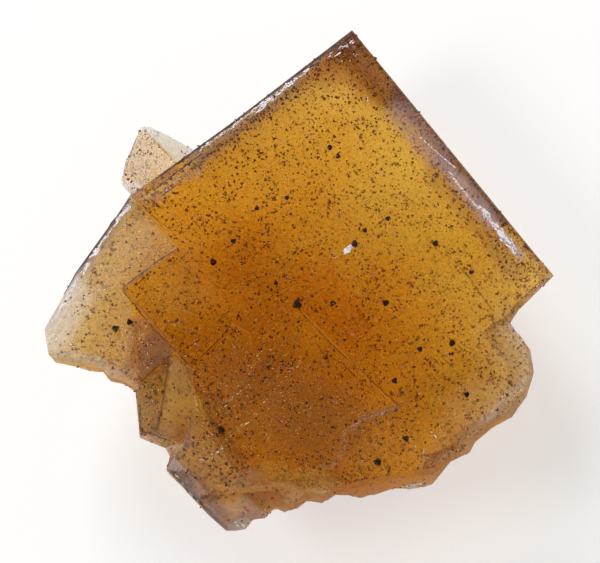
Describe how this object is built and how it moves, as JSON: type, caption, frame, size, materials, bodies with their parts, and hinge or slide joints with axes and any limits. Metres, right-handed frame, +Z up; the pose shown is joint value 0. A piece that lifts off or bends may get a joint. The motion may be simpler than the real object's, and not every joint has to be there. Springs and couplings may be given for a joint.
{
  "type": "fluorite and chalcopyrite specimen",
  "caption": "Intergrown amber fluorite cubes with purple edges, dotted with small dark chalcopyrite crystals, lying on a broken back.",
  "frame": {"origin": "middle of the box around the specimen, on the surface it lies on", "axes": "+Z up, out of the main cube's level face; +Y towards that face's top corner; +X to the right of it"},
  "size_m": [0.0662, 0.0676, 0.0248],
  "materials": {
    "fluorite": "gemmy, glossy crystal faces, broken back",
    "chalcopyrite": "tarnished metallic"
  },
  "bodies": {
    "root": {"fluorite": "fluorite", "chalcopyrite_01": "chalcopyrite", "chalcopyrite_02": "chalcopyrite", "chalcopyrite_03": "chalcopyrite", "chalcopyrite_04": "chalcopyrite", "chalcopyrite_05": "chalcopyrite", "chalcopyrite_06": "chalcopyrite", "chalcopyrite_07": "chalcopyrite", "chalcopyrite_08": "chalcopyrite", "chalcopyrite_09": "chalcopyrite", "chalcopyrite_10": "chalcopyrite", "chalcopyrite_11": "chalcopyrite", "chalcopyrite_12": "chalcopyrite", "chalcopyrite_13": "chalcopyrite", "chalcopyrite_14": "chalcopyrite", "chalcopyrite_15": "chalcopyrite", "chalcopyrite_16": "chalcopyrite", "chalcopyrite_17": "chalcopyrite", "chalcopyrite_18": "chalcopyrite", "chalcopyrite_19": "chalcopyrite", "chalcopyrite_20": "chalcopyrite", "chalcopyrite_21": "chalcopyrite", "chalcopyrite_22": "chalcopyrite", "chalcopyrite_23": "chalcopyrite", "chalcopyrite_24": "chalcopyrite"}
  },
  "joints": []
}
